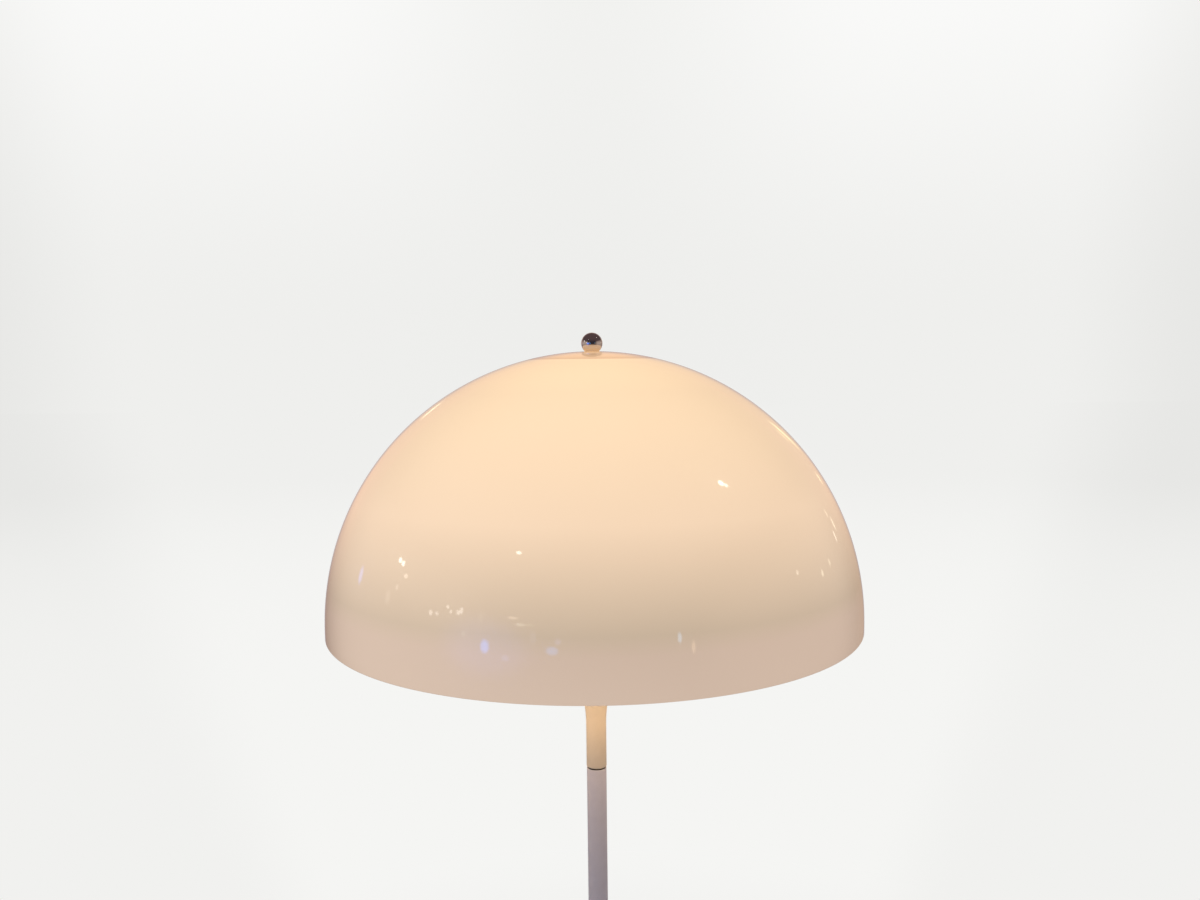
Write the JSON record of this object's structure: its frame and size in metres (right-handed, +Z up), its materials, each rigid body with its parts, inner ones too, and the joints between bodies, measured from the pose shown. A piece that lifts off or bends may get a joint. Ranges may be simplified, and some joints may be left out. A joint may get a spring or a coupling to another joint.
{
  "type": "mushroom floor lamp",
  "caption": "Lit mushroom floor lamp: glossy opal dome with a chrome ball finial, trumpet-headed pale grey stem and weighted trumpet base.",
  "frame": {"origin": "on the floor at the middle of the foot ring, under the axis of the stem", "axes": "+Z up along the stem, -Y to the front, +Y to the rear where the cord inlet is"},
  "size_m": [0.5, 0.5, 1.3048],
  "materials": {
    "opal_plastic": "polished opal, lit from inside",
    "chrome": "polished",
    "ivory_paint": "satin enamel",
    "stone_paint": "matt powder coat",
    "white_paint": "matt powder coat",
    "zinc_steel": "zinc plated",
    "cast_iron": "sand cast, primed",
    "felt": "pressed felt",
    "black_rubber": "moulded, matt",
    "clear_silicone": "soft, satin",
    "white_thermoplastic": "moulded, satin",
    "glazed_ceramic": "steatite",
    "brass": "stamped",
    "black_glass": "fused glass",
    "plated_cap": "rolled",
    "frosted_glass": "frosted, lit",
    "nylon": "moulded",
    "white_sheath": "extruded"
  },
  "bodies": {
    "stand": {"base_shell": "stone_paint", "ballast": "cast_iron", "base_plate": "zinc_steel", "foot_ring": "felt", "shell_screws": "zinc_steel", "plate_screws": "zinc_steel", "stem_stud": "zinc_steel", "stem_washer": "zinc_steel", "stem_nut": "zinc_steel", "lower_stem": "stone_paint", "joint_coupler": "zinc_steel", "joint_ring": "black_rubber", "stem_head": "ivory_paint", "head_plate": "white_paint", "carrier_rods": "white_paint", "rod_foot_nuts": "zinc_steel", "carrier_nuts": "zinc_steel", "carrier_plate": "white_paint", "carrier_stud": "zinc_steel", "stud_nuts": "zinc_steel", "seat_collar": "zinc_steel", "seat_pad": "clear_silicone", "holder_nipple": "zinc_steel", "nipple_washer": "zinc_steel", "nipple_nut": "zinc_steel", "holder_cap": "white_thermoplastic", "holder_insert": "glazed_ceramic", "holder_shell": "white_thermoplastic", "holder_liner": "brass", "centre_contact": "brass", "cord_gland": "black_rubber", "terminal_block": "nylon", "terminal_screws": "brass", "stem_lead": "white_sheath"},
    "shade": {"shade": "opal_plastic"},
    "finial": {"finial": "chrome", "finial_washer": "clear_silicone"},
    "bulb": {"bulb_contact": "brass", "bulb_insulator": "black_glass", "bulb_cap": "plated_cap", "bulb_globe": "frosted_glass"}
  },
  "joints": [
    {"name": "shade_lift", "type": "slide", "parent": "stand", "child": "shade", "axis": [0, 0, 1], "range_m": [0, 0.28]},
    {"name": "finial_off", "type": "slide", "parent": "shade", "child": "finial", "axis": [0, 0, 1], "range_m": [0, 0.03]},
    {"name": "bulb_out", "type": "slide", "parent": "stand", "child": "bulb", "axis": [0, 0, 1], "range_m": [0, 0.026]}
  ]
}
